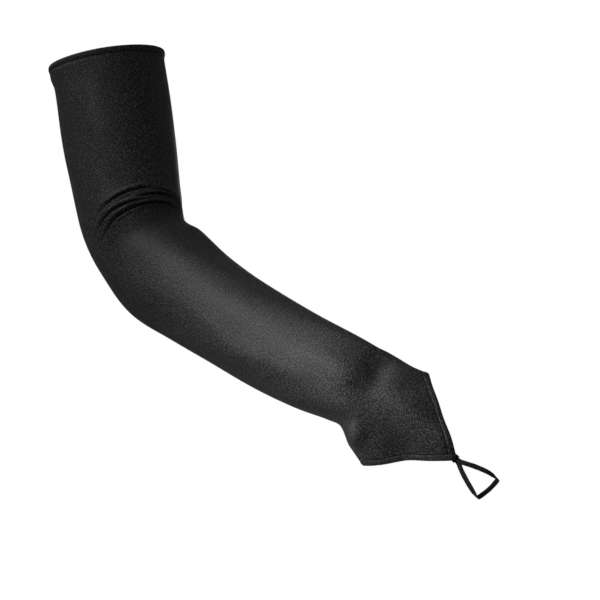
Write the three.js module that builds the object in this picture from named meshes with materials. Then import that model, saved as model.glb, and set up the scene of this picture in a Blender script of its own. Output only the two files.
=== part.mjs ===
// Long evening mitten in black stretch satin, in the form that it has when worn on a bent right arm.
// A tube sleeve runs from above the elbow to a point over the back of the hand, with a folded hem at
// the arm opening and another round the V of the hand opening. A flat strap goes from the point
// round the base of the middle finger and back, and a bar tack holds its two ends.
// Millimetres. The origin is the middle of the arm opening, +Z is up, +X runs towards the hand, and
// +Y points from the back of the hand to the palm. A station is a place along the sleeve: 0 is the
// arm opening, 1 the elbow, 2 the wrist and 3 the point. An angle goes round the sleeve from 0 on the
// thumb side over 90 on the back of the hand to 180 on the little finger side and 270 on the palm.
import * as THREE from "three";

const UPPER_LENGTH = 138; // arm opening to the middle of the elbow
const FOREARM_LENGTH = 190; // middle of the elbow to the wrist
const HAND_LENGTH = 84; // wrist to the point
const POINT_LENGTH = 46; // how far the point reaches past the sides of the hand opening
const RIM_WIDTH = 81;
const ELBOW_WIDTH = 72;
const WRIST_WIDTH = 57;
const HAND_WIDTH = 70;
const CLOTH = 1.2;
const GAP = 0.3; // clearance between pieces
const HEM_WIDTH = 5;
const HEM_THICKNESS = 2; // the cloth folded double
const HEM_PROUD = 0.3; // how far a hem stands out of the sleeve
const FOLD_BOW = 0.072; // stations that a fold drops by, FOLD_REACH degrees from its middle
const FOLD_REACH = 50;
const FOLD_FADE = 14; // degrees over which a fold's end runs out
const STRAP_WIDTH = 3.2;
const STRAP_THICKNESS = 0.8;
const LOOP_REACH = 27; // point to the web of the fingers
const FINGER_WIDTH = 17.5;
const FINGER_DEPTH = 15;
const FINGER_DOWN = 43; // degrees of the middle finger below the horizontal
const TACK_LENGTH = 5;
const TACK_WIDTH = 2.6;
const TACK_THICKNESS = 0.7;

// Where the sleeve's middle line heads: degrees below the horizontal, and degrees of lean to the front.
const HEADINGS = [
  { at: 0.0, down: 80.6, lean: 6.5 },
  { at: 0.35, down: 82, lean: 6.5 },
  { at: 0.72, down: 79, lean: 7.5 },
  { at: 1.0, down: 56, lean: 17 },
  { at: 1.18, down: 38, lean: 29 },
  { at: 1.5, down: 30.5, lean: 31 },
  { at: 1.9, down: 26.5, lean: 24 },
  { at: 2.15, down: 35.5, lean: 6 },
  { at: 3.0, down: 35.5, lean: 2 },
];

// Distance from the middle line to the cloth on four sides, as shares of the width that it follows.
const SECTIONS = [
  { at: 0.0, width: RIM_WIDTH, inner: 0.5, outer: 0.51, front: 0.48, back: 0.48 },
  { at: 0.06, width: RIM_WIDTH, inner: 0.485, outer: 0.51, front: 0.47, back: 0.47 },
  { at: 0.12, width: RIM_WIDTH, inner: 0.485, outer: 0.49, front: 0.47, back: 0.47 },
  { at: 0.45, width: RIM_WIDTH, inner: 0.485, outer: 0.485, front: 0.47, back: 0.47 },
  { at: 0.8, width: RIM_WIDTH, inner: 0.45, outer: 0.45, front: 0.45, back: 0.45 },
  { at: 1.0, width: ELBOW_WIDTH, inner: 0.46, outer: 0.5, front: 0.47, back: 0.47 },
  { at: 1.12, width: ELBOW_WIDTH, inner: 0.51, outer: 0.52, front: 0.47, back: 0.47 },
  { at: 1.3, width: ELBOW_WIDTH, inner: 0.475, outer: 0.475, front: 0.45, back: 0.45 },
  { at: 1.5, width: ELBOW_WIDTH, inner: 0.455, outer: 0.455, front: 0.42, back: 0.42 },
  { at: 1.85, width: WRIST_WIDTH, inner: 0.54, outer: 0.54, front: 0.38, back: 0.38 },
  { at: 2.02, width: WRIST_WIDTH, inner: 0.52, outer: 0.47, front: 0.35, back: 0.35 },
  { at: 2.1, width: HAND_WIDTH, inner: 0.44, outer: 0.37, front: 0.28, back: 0.28 },
  { at: 2.28, width: HAND_WIDTH, inner: 0.46, outer: 0.485, front: 0.25, back: 0.25 },
  { at: 2.5, width: HAND_WIDTH, inner: 0.5, outer: 0.56, front: 0.22, back: 0.22 },
  { at: 3.0, width: HAND_WIDTH, inner: 0.5, outer: 0.52, front: 0.2, back: 0.2 },
];

// Valleys of the folds in the crook of the elbow. Each bows round the arm from one angle to another,
// nearest the shoulder at its middle. Deep is a share of ELBOW_WIDTH, and wide is in stations.
const FOLDS = [
  { at: 0.731, middle: 70, from: 62, to: 116, deep: 0.034, wide: 0.014 },
  { at: 0.744, middle: 66, from: 18, to: 56, deep: 0.022, wide: 0.013 },
  { at: 0.774, middle: 66, from: -20, to: 72, deep: 0.036, wide: 0.014 },
  { at: 0.798, middle: 80, from: 74, to: 126, deep: 0.036, wide: 0.014 },
  { at: 0.831, middle: 72, from: 14, to: 122, deep: 0.04, wide: 0.016 },
];

// Soft swellings and hollows. Length is in stations, spread in degrees, and high is a share of width.
const SWELLINGS = [
  { at: 0.79, angle: 60, length: 0.07, spread: 60, high: 0.02, width: ELBOW_WIDTH },
  { at: 0.98, angle: 80, length: 0.06, spread: 45, high: -0.015, width: ELBOW_WIDTH },
  { at: 2.08, angle: 48, length: 0.1, spread: 26, high: -0.03, width: WRIST_WIDTH },
  { at: 2.3, angle: 58, length: 0.14, spread: 20, high: 0.03, width: HAND_WIDTH },
  { at: 2.62, angle: 76, length: 0.24, spread: 16, high: 0.026, width: HAND_WIDTH },
  { at: 2.48, angle: 112, length: 0.16, spread: 14, high: -0.024, width: HAND_WIDTH },
];

// How many rows of facets each stretch of the sleeve has: close together where it folds.
const STRETCHES = [
  { to: 0.66, rows: 8 },
  { to: 0.93, rows: 24 },
  { to: 1.25, rows: 7 },
  { to: 2.05, rows: 10 },
];
const HAND_ROWS = 9;
const COLUMNS = 40;

// Across a hem from one side to the other: how much of its full thickness it has there.
const HEM_PROFILE = [
  { across: 0, full: 0 },
  { across: 0.16, full: 1 },
  { across: 0.84, full: 1 },
  { across: 1, full: 0 },
];
const HEM_ROUNDING = 0.4;

// The strap's middle line from its upper end round the finger to its lower end. Along is a share of
// LOOP_REACH, across of FINGER_WIDTH, rise of FINGER_DEPTH, and layer lifts the upper end over the
// lower one. Facing is the way that its flat side looks: 0 off the hand, 90 to the thumb side.
const LOOP = [
  { along: -0.16, across: 0.02, rise: 0, layer: 1, facing: 0 },
  { along: 0.04, across: 0.03, rise: 0, layer: 1, facing: 0 },
  { along: 0.18, across: 0.12, rise: 0, layer: 0.95, facing: 2 },
  { along: 0.39, across: 0.27, rise: 0, layer: 0.5, facing: 8 },
  { along: 0.7, across: 0.44, rise: -0.05, layer: 0.1, facing: 25 },
  { along: 0.91, across: 0.5, rise: -0.16, layer: 0, facing: 58 },
  { along: 1.0, across: 0.51, rise: -0.36, layer: 0, facing: 88 },
  { along: 1.04, across: 0.46, rise: -0.66, layer: 0, facing: 118 },
  { along: 1.06, across: 0.27, rise: -0.92, layer: 0, facing: 150 },
  { along: 1.06, across: 0, rise: -1, layer: 0, facing: 180 },
  { along: 1.03, across: -0.27, rise: -0.92, layer: 0, facing: 210 },
  { along: 0.99, across: -0.46, rise: -0.66, layer: 0, facing: 242 },
  { along: 0.94, across: -0.51, rise: -0.36, layer: 0, facing: 272 },
  { along: 0.86, across: -0.48, rise: -0.16, layer: 0, facing: 302 },
  { along: 0.7, across: -0.41, rise: -0.06, layer: 0, facing: 335 },
  { along: 0.48, across: -0.31, rise: -0.01, layer: 0, facing: 352 },
  { along: 0.23, across: -0.17, rise: 0, layer: 0, facing: 358 },
  { along: 0.04, across: -0.04, rise: 0, layer: 0, facing: 360 },
  { along: -0.16, across: -0.02, rise: 0, layer: 0, facing: 360 },
];
const LOOP_STEPS = 72;

const TOTAL_LENGTH = UPPER_LENGTH + FOREARM_LENGTH + HAND_LENGTH;
const DEGREE = Math.PI / 180;

function clamp(value, low, high) {
  return Math.min(Math.max(value, low), high);
}

function smoothStep(low, high, value) {
  const t = clamp((value - low) / (high - low), 0, 1);
  return t * t * (3 - 2 * t);
}

// Distance along the sleeve of a station, and the other way round.
function lengthAt(station) {
  const upper = clamp(station, 0, 1) * UPPER_LENGTH;
  const forearm = clamp(station - 1, 0, 1) * FOREARM_LENGTH;
  return upper + forearm + clamp(station - 2, 0, 1) * HAND_LENGTH;
}

function stationAt(length) {
  if (length < UPPER_LENGTH) return length / UPPER_LENGTH;
  if (length < UPPER_LENGTH + FOREARM_LENGTH) return 1 + (length - UPPER_LENGTH) / FOREARM_LENGTH;
  return 2 + (length - UPPER_LENGTH - FOREARM_LENGTH) / HAND_LENGTH;
}

// A smooth curve through a table's column that never swings past its rows.
function columnCurve(rows, valueOf) {
  const x = rows.map((row) => row.at);
  const y = rows.map(valueOf);
  const last = rows.length - 1;
  const rise = x.slice(1).map((end, i) => (y[i + 1] - y[i]) / (end - x[i]));
  const slope = y.map((value, i) => {
    if (i === 0) return rise[0];
    if (i === last) return rise[last - 1];
    if (rise[i - 1] * rise[i] <= 0) return 0;
    const before = 2 * (x[i + 1] - x[i]) + (x[i] - x[i - 1]);
    const after = x[i + 1] - x[i] + 2 * (x[i] - x[i - 1]);
    return (before + after) / (before / rise[i - 1] + after / rise[i]);
  });
  return (at) => {
    const place = clamp(at, x[0], x[last]);
    let i = 0;
    while (i < last - 1 && place > x[i + 1]) i += 1;
    const span = x[i + 1] - x[i];
    const t = (place - x[i]) / span;
    const start = (1 + 2 * t) * (1 - t) ** 2 * y[i] + t * (1 - t) ** 2 * span * slope[i];
    const end = t * t * (3 - 2 * t) * y[i + 1] + t * t * (t - 1) * span * slope[i + 1];
    return start + end;
  };
}

const downAt = columnCurve(HEADINGS, (row) => row.down);
const leanAt = columnCurve(HEADINGS, (row) => row.lean);
const innerAt = columnCurve(SECTIONS, (row) => row.inner * row.width);
const outerAt = columnCurve(SECTIONS, (row) => row.outer * row.width);
const frontAt = columnCurve(SECTIONS, (row) => row.front * row.width);
const backAt = columnCurve(SECTIONS, (row) => row.back * row.width);

// A heading's unit vectors: along the sleeve, off its front, and to its thumb side.
function headingFrame(downDegrees, leanDegrees) {
  const down = downDegrees * DEGREE;
  const lean = leanDegrees * DEGREE;
  const along = new THREE.Vector3(
    Math.cos(lean) * Math.cos(down),
    -Math.sin(lean),
    -Math.cos(lean) * Math.sin(down),
  );
  const front = new THREE.Vector3(0, -1, 0).addScaledVector(along, along.y).normalize();
  const side = new THREE.Vector3().crossVectors(front, along);
  return { along, front, side };
}

// The middle line, summed in short steps from the arm opening.
const LINE_STEPS = 600;
const LINE = [new THREE.Vector3()];
for (let i = 0; i < LINE_STEPS; i += 1) {
  const step = TOTAL_LENGTH / LINE_STEPS;
  const station = stationAt((i + 0.5) * step);
  const { along } = headingFrame(downAt(station), leanAt(station));
  LINE.push(LINE[i].clone().addScaledVector(along, step));
}

function lineAt(length) {
  const place = clamp(length / TOTAL_LENGTH, 0, 1) * LINE_STEPS;
  const i = Math.min(Math.floor(place), LINE_STEPS - 1);
  return LINE[i].clone().lerp(LINE[i + 1], place - i);
}

// An angle between -180 and 180 degrees from another one.
function turnFrom(angle, other) {
  return ((((angle - other) % 360) + 540) % 360) - 180;
}

// How far the folds and swellings move the cloth out at a place.
function relief(station, angle) {
  let out = 0;
  for (const fold of FOLDS) {
    const turn = turnFrom(angle, fold.middle);
    const valley = fold.at + FOLD_BOW * (turn / FOLD_REACH) ** 2;
    const starts = smoothStep(-FOLD_FADE, FOLD_FADE, turn - (fold.from - fold.middle));
    const ends = smoothStep(-FOLD_FADE, FOLD_FADE, fold.to - fold.middle - turn);
    const across = Math.exp(-(((station - valley) / fold.wide) ** 2));
    out -= fold.deep * ELBOW_WIDTH * across * starts * ends;
  }
  for (const swelling of SWELLINGS) {
    const along = (station - swelling.at) / swelling.length;
    const round = turnFrom(angle, swelling.angle) / swelling.spread;
    out += swelling.high * swelling.width * Math.exp(-along * along - round * round);
  }
  return out;
}

// The point at a length and angle, so far out of the sleeve's outer face.
function clothPoint(length, angle, outset) {
  const station = stationAt(length);
  const { front, side } = headingFrame(downAt(station), leanAt(station));
  const cosine = Math.cos(angle * DEGREE);
  const sine = Math.sin(angle * DEGREE);
  const wide = cosine > 0 ? innerAt(station) : outerAt(station);
  const deep = sine > 0 ? frontAt(station) : backAt(station);
  const out = outset + relief(station, angle);
  return lineAt(length)
    .addScaledVector(side, (wide + out) * cosine)
    .addScaledVector(front, (deep + out) * sine);
}

// Where the sleeve ends at an angle: a V over the back of the hand, straight across the palm.
function edgeLength(angle) {
  const rise = Math.sin(angle * DEGREE) > 0 ? 1 - Math.abs(Math.cos(angle * DEGREE)) : 0;
  return TOTAL_LENGTH - POINT_LENGTH * (1 - rise);
}

// How much longer a cut square to the V is along the sleeve, easing to 1 round the palm.
function slant(angle) {
  const sloped = Math.hypot(1, POINT_LENGTH / (HAND_WIDTH / 2));
  return 1 + (sloped - 1) * smoothStep(0, 0.3, Math.sin(angle * DEGREE));
}

// A closed wall round an opening, from the place of each row and column on its two faces.
function ringWall(rows, place) {
  const points = [];
  for (const face of [0, 1]) {
    for (let row = 0; row <= rows; row += 1) {
      for (let column = 0; column < COLUMNS; column += 1) {
        points.push(...place(row, (column * 360) / COLUMNS, face).toArray());
      }
    }
  }
  const at = (face, row, column) => (face * (rows + 1) + row) * COLUMNS + (column % COLUMNS);
  const faces = [];
  const quad = (a, b, c, d) => faces.push(a, b, c, a, c, d);
  for (let column = 0; column < COLUMNS; column += 1) {
    const next = column + 1;
    for (let row = 0; row < rows; row += 1) {
      quad(at(0, row, column), at(0, row, next), at(0, row + 1, next), at(0, row + 1, column));
      quad(at(1, row, column), at(1, row + 1, column), at(1, row + 1, next), at(1, row, next));
    }
    quad(at(0, 0, column), at(1, 0, column), at(1, 0, next), at(0, 0, next));
    quad(at(0, rows, column), at(0, rows, next), at(1, rows, next), at(1, rows, column));
  }
  return closedGeometry(points, faces);
}

function closedGeometry(points, faces) {
  const geometry = new THREE.BufferGeometry();
  geometry.setAttribute("position", new THREE.Float32BufferAttribute(points, 3));
  geometry.setIndex(faces);
  geometry.computeVertexNormals();
  return geometry;
}

function piece(name, geometry, colour, roughness) {
  const material = new THREE.MeshStandardMaterial({ color: colour, roughness, metalness: 0 });
  const mesh = new THREE.Mesh(geometry, material);
  mesh.name = name;
  return mesh;
}

// The sleeve between its two hems.
function sleeve() {
  const stations = [stationAt(HEM_WIDTH + GAP)];
  for (const { to, rows } of STRETCHES) {
    const from = stations[stations.length - 1];
    for (let i = 1; i <= rows; i += 1) stations.push(from + ((to - from) * i) / rows);
  }
  const straight = stations.length - 1;
  const turned = lengthAt(stations[straight]);
  return ringWall(straight + HAND_ROWS, (row, angle, face) => {
    const end = edgeLength(angle) - (HEM_WIDTH + GAP) * slant(angle);
    const beyond = Math.max(row - straight, 0) / HAND_ROWS;
    const length = row <= straight ? lengthAt(stations[row]) : turned + (end - turned) * beyond;
    return clothPoint(length, angle, face === 0 ? 0 : -CLOTH);
  });
}

// A folded hem, from one length along the sleeve to another at each angle.
function hem(startOf, endOf) {
  return ringWall(HEM_PROFILE.length - 1, (row, angle, face) => {
    const { across, full } = HEM_PROFILE[row];
    const from = startOf(angle);
    const inset = HEM_ROUNDING * (1 - full);
    const outset = face === 0 ? HEM_PROUD - inset : HEM_PROUD - HEM_THICKNESS + inset;
    return clothPoint(from + (endOf(angle) - from) * across, angle, outset);
  });
}

function upperHem() {
  return hem(() => 0, () => HEM_WIDTH);
}

function handHem() {
  return hem((angle) => edgeLength(angle) - HEM_WIDTH * slant(angle), edgeLength);
}

// The point's frame: off it the strap lies along the middle finger.
const POINT = clothPoint(TOTAL_LENGTH, 90, 0);
const FINGER = headingFrame(FINGER_DOWN, leanAt(3));
const STRAP_HEIGHT = HEM_PROUD + GAP + STRAP_THICKNESS / 2;
const LAYER_HEIGHT = STRAP_THICKNESS + GAP;

function fingerPlace(along, across, height) {
  return POINT.clone()
    .addScaledVector(FINGER.along, along)
    .addScaledVector(FINGER.side, across)
    .addScaledVector(FINGER.front, height);
}

// The flat strap, swept along its middle line with its corners taken off.
function fingerLoop() {
  const middle = LOOP.map(({ along, across, rise, layer }) => {
    const height = STRAP_HEIGHT + layer * LAYER_HEIGHT + rise * FINGER_DEPTH;
    return fingerPlace(along * LOOP_REACH, across * FINGER_WIDTH, height);
  });
  const curve = new THREE.CatmullRomCurve3(middle, false, "centripetal");
  const wide = STRAP_WIDTH / 2;
  const thick = STRAP_THICKNESS / 2;
  const corner = STRAP_THICKNESS / 4;
  const outline = [
    [wide, -thick + corner],
    [wide, thick - corner],
    [wide - corner, thick],
    [-wide + corner, thick],
    [-wide, thick - corner],
    [-wide, -thick + corner],
    [-wide + corner, -thick],
    [wide - corner, -thick],
  ];
  const sides = outline.length;
  const points = [];
  for (let step = 0; step <= LOOP_STEPS; step += 1) {
    const place = (step / LOOP_STEPS) * (LOOP.length - 1);
    const row = Math.min(Math.floor(place), LOOP.length - 2);
    const facing = LOOP[row].facing + (LOOP[row + 1].facing - LOOP[row].facing) * (place - row);
    const ahead = curve.getTangent(step / LOOP_STEPS);
    const flat = FINGER.front.clone().multiplyScalar(Math.cos(facing * DEGREE));
    flat.addScaledVector(FINGER.side, Math.sin(facing * DEGREE));
    flat.addScaledVector(ahead, -flat.dot(ahead)).normalize();
    const across = new THREE.Vector3().crossVectors(ahead, flat);
    for (const [x, y] of outline) {
      const corner3 = curve.getPoint(step / LOOP_STEPS).addScaledVector(across, x);
      points.push(...corner3.addScaledVector(flat, y).toArray());
    }
  }
  const faces = [];
  for (let step = 0; step < LOOP_STEPS; step += 1) {
    for (let i = 0; i < sides; i += 1) {
      const [a, b] = [step * sides + i, step * sides + ((i + 1) % sides)];
      faces.push(a, a + sides, b + sides, a, b + sides, b);
    }
  }
  const end = LOOP_STEPS * sides;
  for (let i = 1; i < sides - 1; i += 1) {
    faces.push(0, i, i + 1);
    faces.push(end, end + i + 1, end + i);
  }
  return closedGeometry(points, faces);
}

// The bar tack over the strap's ends, with its long edges taken off.
function loopTack() {
  const bevel = TACK_THICKNESS / 3;
  const outline = new THREE.Shape();
  outline.moveTo(-TACK_WIDTH / 2, 0);
  outline.lineTo(TACK_WIDTH / 2, 0);
  outline.lineTo(TACK_WIDTH / 2, TACK_THICKNESS - bevel);
  outline.lineTo(TACK_WIDTH / 2 - bevel, TACK_THICKNESS);
  outline.lineTo(-TACK_WIDTH / 2 + bevel, TACK_THICKNESS);
  outline.lineTo(-TACK_WIDTH / 2, TACK_THICKNESS - bevel);
  const bar = new THREE.ExtrudeGeometry(outline, { depth: TACK_LENGTH, bevelEnabled: false });
  bar.translate(0, 0, -TACK_LENGTH / 2);
  const height = STRAP_HEIGHT + LAYER_HEIGHT + STRAP_THICKNESS / 2 + GAP;
  const turn = new THREE.Matrix4().makeBasis(FINGER.along, FINGER.front, FINGER.side.clone().negate());
  bar.applyMatrix4(turn.setPosition(fingerPlace(LOOP[0].along * LOOP_REACH / 2, 0, height)));
  return bar;
}

const group = new THREE.Group();
group.add(
  piece("sleeve", sleeve(), 0x2a2a2e, 0.5),
  piece("upper_hem", upperHem(), 0x232326, 0.55),
  piece("hand_hem", handHem(), 0x232326, 0.55),
  piece("finger_loop", fingerLoop(), 0x1c1614, 0.45),
  piece("loop_tack", loopTack(), 0x151312, 0.7),
);

export default group;
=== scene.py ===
"""A long evening mitten in black stretch satin, for the right side, in the form that it takes worn.

Metres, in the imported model's frame: +Z up, +X towards the point, +Y from the back of the mitten to
its palm side. A station is a place along the sleeve: 0 at the upper opening, 1 at the elbow, 2 at the
wrist and 3 at the point. An angle in degrees goes round it: 0 at the thumb side, 90 at the back.
"""
import math

import bpy
import numpy as np
from mathutils import Matrix, Vector


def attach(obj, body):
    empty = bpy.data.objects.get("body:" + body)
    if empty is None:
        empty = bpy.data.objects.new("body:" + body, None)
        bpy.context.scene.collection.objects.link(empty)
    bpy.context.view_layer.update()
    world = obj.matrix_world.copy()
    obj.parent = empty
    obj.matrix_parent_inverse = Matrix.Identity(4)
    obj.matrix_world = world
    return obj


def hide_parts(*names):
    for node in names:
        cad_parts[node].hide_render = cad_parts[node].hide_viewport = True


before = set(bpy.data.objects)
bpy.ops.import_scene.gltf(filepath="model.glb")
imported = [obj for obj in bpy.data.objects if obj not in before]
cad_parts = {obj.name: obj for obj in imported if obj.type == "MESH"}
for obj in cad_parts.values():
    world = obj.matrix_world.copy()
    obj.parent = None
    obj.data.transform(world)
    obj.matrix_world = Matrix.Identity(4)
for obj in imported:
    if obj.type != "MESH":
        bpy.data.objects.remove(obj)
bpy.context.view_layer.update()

# Camera. The mitten is seen level and square on, from a little over one and a half metres.
VIEW_CENTRE = (0.13475, -0.16835)
VIEW_DISTANCE = 1.6
SENSOR_WIDTH = 36
LENS_LENGTH = 137.1
camera_data = bpy.data.cameras.new("camera")
camera_data.sensor_width = SENSOR_WIDTH
camera_data.lens = LENS_LENGTH
camera = bpy.data.objects.new("camera", camera_data)
camera.location = (VIEW_CENTRE[0], -VIEW_DISTANCE, VIEW_CENTRE[1])
camera.rotation_euler = (math.radians(90), 0, 0)
bpy.context.scene.collection.objects.link(camera)
bpy.context.scene.camera = camera

# Sleeve. One tube of warp-knitted stretch satin, cut narrow and worn stretched, so that it clings.
# In the crook of the elbow the spare cloth is pushed up into short folds that bow round the front.
UPPER_LENGTH = 0.138
FOREARM_LENGTH = 0.190
HAND_LENGTH = 0.084
POINT_LENGTH = 0.046
RIM_WIDTH = 0.081
ELBOW_WIDTH = 0.072
WRIST_WIDTH = 0.057
HAND_WIDTH = 0.070
CLOTH = 0.001
TOTAL_LENGTH = UPPER_LENGTH + FOREARM_LENGTH + HAND_LENGTH

# Where the middle line heads, in degrees below the horizontal and of lean to the front.
HEADINGS = [
    dict(at=0.0, down=80.6, lean=6.5),
    dict(at=0.35, down=82, lean=6.5),
    dict(at=0.72, down=79, lean=7.5),
    dict(at=1.0, down=56, lean=17),
    dict(at=1.18, down=38, lean=29),
    dict(at=1.5, down=30.5, lean=31),
    dict(at=1.9, down=26.5, lean=24),
    dict(at=2.15, down=35.5, lean=6),
    dict(at=3.0, down=35.5, lean=2),
]

# Distance from the middle line to the cloth on four sides, as shares of the width it follows.
SECTIONS = [
    dict(at=0.0, width=RIM_WIDTH, inner=0.5, outer=0.51, front=0.48, back=0.48),
    dict(at=0.06, width=RIM_WIDTH, inner=0.485, outer=0.51, front=0.47, back=0.47),
    dict(at=0.12, width=RIM_WIDTH, inner=0.485, outer=0.49, front=0.47, back=0.47),
    dict(at=0.45, width=RIM_WIDTH, inner=0.485, outer=0.485, front=0.47, back=0.47),
    dict(at=0.8, width=RIM_WIDTH, inner=0.45, outer=0.45, front=0.45, back=0.45),
    dict(at=1.0, width=ELBOW_WIDTH, inner=0.46, outer=0.5, front=0.47, back=0.47),
    dict(at=1.12, width=ELBOW_WIDTH, inner=0.51, outer=0.52, front=0.47, back=0.47),
    dict(at=1.3, width=ELBOW_WIDTH, inner=0.475, outer=0.475, front=0.45, back=0.45),
    dict(at=1.5, width=ELBOW_WIDTH, inner=0.455, outer=0.455, front=0.42, back=0.42),
    dict(at=1.85, width=WRIST_WIDTH, inner=0.54, outer=0.54, front=0.38, back=0.38),
    dict(at=2.02, width=WRIST_WIDTH, inner=0.52, outer=0.47, front=0.35, back=0.35),
    dict(at=2.1, width=HAND_WIDTH, inner=0.44, outer=0.37, front=0.28, back=0.28),
    dict(at=2.28, width=HAND_WIDTH, inner=0.46, outer=0.485, front=0.25, back=0.25),
    dict(at=2.5, width=HAND_WIDTH, inner=0.5, outer=0.56, front=0.22, back=0.22),
    dict(at=3.0, width=HAND_WIDTH, inner=0.5, outer=0.52, front=0.2, back=0.2),
]

# Valleys of the elbow's folds, each nearest the shoulder at its middle angle. Deep and wide in metres.
FOLD_BOW = 0.072
FOLD_REACH = 50
FOLD_EASE = 12
FOLDS = [
    dict(at=0.731, middle=70, start=62, end=116, deep=0.0024, wide=0.0009),
    dict(at=0.744, middle=66, start=18, end=56, deep=0.0013, wide=0.0009),
    dict(at=0.774, middle=66, start=-20, end=72, deep=0.0026, wide=0.0009),
    dict(at=0.798, middle=80, start=74, end=126, deep=0.0026, wide=0.0009),
    dict(at=0.831, middle=72, start=14, end=122, deep=0.0028, wide=0.001),
]

# A valley's form across: a rounded V between low shoulders, in shares of its depth and width.
VALLEY_POWER = 1.4
SHOULDER_HEIGHT = 0.3
SHOULDER_PLACE = 2.2
SHOULDER_WIDTH = 1.3

# Soft swellings and hollows: length in stations, spread in degrees, high in metres.
SWELLINGS = [
    dict(at=0.79, angle=60, length=0.07, spread=60, high=0.0014),
    dict(at=0.98, angle=80, length=0.06, spread=45, high=-0.0011),
    dict(at=2.12, angle=52, length=0.1, spread=34, high=-0.0056),
    dict(at=2.26, angle=137, length=0.07, spread=16, high=0.003),
    dict(at=2.48, angle=79, length=0.2, spread=24, high=0.0028),
    dict(at=2.82, angle=83, length=0.3, spread=15, high=0.0052),
    dict(at=2.34, angle=86, length=0.12, spread=6, high=-0.0006),
    dict(at=2.64, angle=116, length=0.16, spread=17, high=-0.0048),
]


def smooth_step(low, high, value):
    t = np.clip((value - low) / (high - low), 0, 1)
    return t * t * (3 - 2 * t)


def length_at(station):
    upper = np.clip(station, 0, 1) * UPPER_LENGTH
    forearm = np.clip(station - 1, 0, 1) * FOREARM_LENGTH
    return upper + forearm + np.clip(station - 2, 0, 1) * HAND_LENGTH


def station_at(length):
    upper = np.clip(length / UPPER_LENGTH, 0, 1)
    forearm = np.clip((length - UPPER_LENGTH) / FOREARM_LENGTH, 0, 1)
    return upper + forearm + np.clip((length - UPPER_LENGTH - FOREARM_LENGTH) / HAND_LENGTH, 0, 1)


def column_curve(rows, value_of):
    """A smooth curve through a table's column that never swings past its rows."""
    x = np.array([row["at"] for row in rows], float)
    y = np.array([value_of(row) for row in rows], float)
    span = np.diff(x)
    rise = np.diff(y) / span
    slope = np.zeros(len(x))
    slope[0], slope[-1] = rise[0], rise[-1]
    for i in range(1, len(x) - 1):
        if rise[i - 1] * rise[i] > 0:
            before = 2 * span[i] + span[i - 1]
            after = span[i] + 2 * span[i - 1]
            slope[i] = (before + after) / (before / rise[i - 1] + after / rise[i])

    def value_at(at):
        place = np.clip(at, x[0], x[-1])
        i = np.clip(np.searchsorted(x, place, side="right") - 1, 0, len(span) - 1)
        t = (place - x[i]) / span[i]
        start = (1 + 2 * t) * (1 - t) ** 2 * y[i] + t * (1 - t) ** 2 * span[i] * slope[i]
        end = t * t * (3 - 2 * t) * y[i + 1] + t * t * (t - 1) * span[i] * slope[i + 1]
        return start + end

    return value_at


down_at = column_curve(HEADINGS, lambda row: row["down"])
lean_at = column_curve(HEADINGS, lambda row: row["lean"])
inner_at = column_curve(SECTIONS, lambda row: row["inner"] * row["width"])
outer_at = column_curve(SECTIONS, lambda row: row["outer"] * row["width"])
front_at = column_curve(SECTIONS, lambda row: row["front"] * row["width"])
back_at = column_curve(SECTIONS, lambda row: row["back"] * row["width"])


def heading_frame(down_degrees, lean_degrees):
    """Unit vectors along the sleeve, off its front, and to its thumb side."""
    down, lean = np.radians(down_degrees), np.radians(lean_degrees)
    across = np.cos(lean)
    along = np.stack([across * np.cos(down), -np.sin(lean), -across * np.sin(down)], -1)
    front = np.array([0.0, -1.0, 0.0]) + along * along[..., 1:2]
    front /= np.linalg.norm(front, axis=-1, keepdims=True)
    return along, front, np.cross(front, along)


LINE_STEPS = 600
line_lengths = np.linspace(0, TOTAL_LENGTH, LINE_STEPS + 1)
line_middles = station_at((line_lengths[1:] + line_lengths[:-1]) / 2)
line_steps = heading_frame(down_at(line_middles), lean_at(line_middles))[0] * line_lengths[1]
line_points = np.vstack([np.zeros(3), np.cumsum(line_steps, axis=0)])


def turn_from(angle, other):
    return (angle - other + 180) % 360 - 180


def valley_form(across):
    distance = np.abs(across)
    shoulder = np.exp(-((distance - SHOULDER_PLACE) / SHOULDER_WIDTH) ** 2)
    return np.exp(-distance ** VALLEY_POWER) - SHOULDER_HEIGHT * shoulder


def relief(station, angle):
    """How far the folds, swellings and hollows of the cloth move it out."""
    out = np.zeros(np.broadcast(station, angle).shape)
    for fold in FOLDS:
        turn = turn_from(angle, fold["middle"])
        valley = fold["at"] + FOLD_BOW * (turn / FOLD_REACH) ** 2
        starts = smooth_step(-FOLD_EASE, FOLD_EASE, turn - (fold["start"] - fold["middle"]))
        ends = smooth_step(-FOLD_EASE, FOLD_EASE, fold["end"] - fold["middle"] - turn)
        across = (station - valley) * UPPER_LENGTH / fold["wide"]
        out -= fold["deep"] * valley_form(across) * starts * ends
    for swelling in SWELLINGS:
        along = (station - swelling["at"]) / swelling["length"]
        round_it = turn_from(angle, swelling["angle"]) / swelling["spread"]
        out += swelling["high"] * np.exp(-along * along - round_it * round_it)
    return out


SLACK_WAVES = 9
SLACK_HEIGHT = 0.00012
SLACK_SEED = 7
TURNS_FROM, TURNS_BELOW = 1, 7
RATES_FROM, RATES_TO = 2, 16
slack_random = np.random.default_rng(SLACK_SEED)
slack_turns = slack_random.integers(TURNS_FROM, TURNS_BELOW, SLACK_WAVES)
slack_rates = slack_random.uniform(RATES_FROM, RATES_TO, SLACK_WAVES)
slack_phases = slack_random.uniform(0, 2 * math.pi, SLACK_WAVES)


def slack(station, angle):
    """The faint unevenness of stretched cloth."""
    waves = [
        np.sin(turns * np.radians(angle) + rate * station + phase)
        for turns, rate, phase in zip(slack_turns, slack_rates, slack_phases)
    ]
    return SLACK_HEIGHT * sum(waves)


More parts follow.
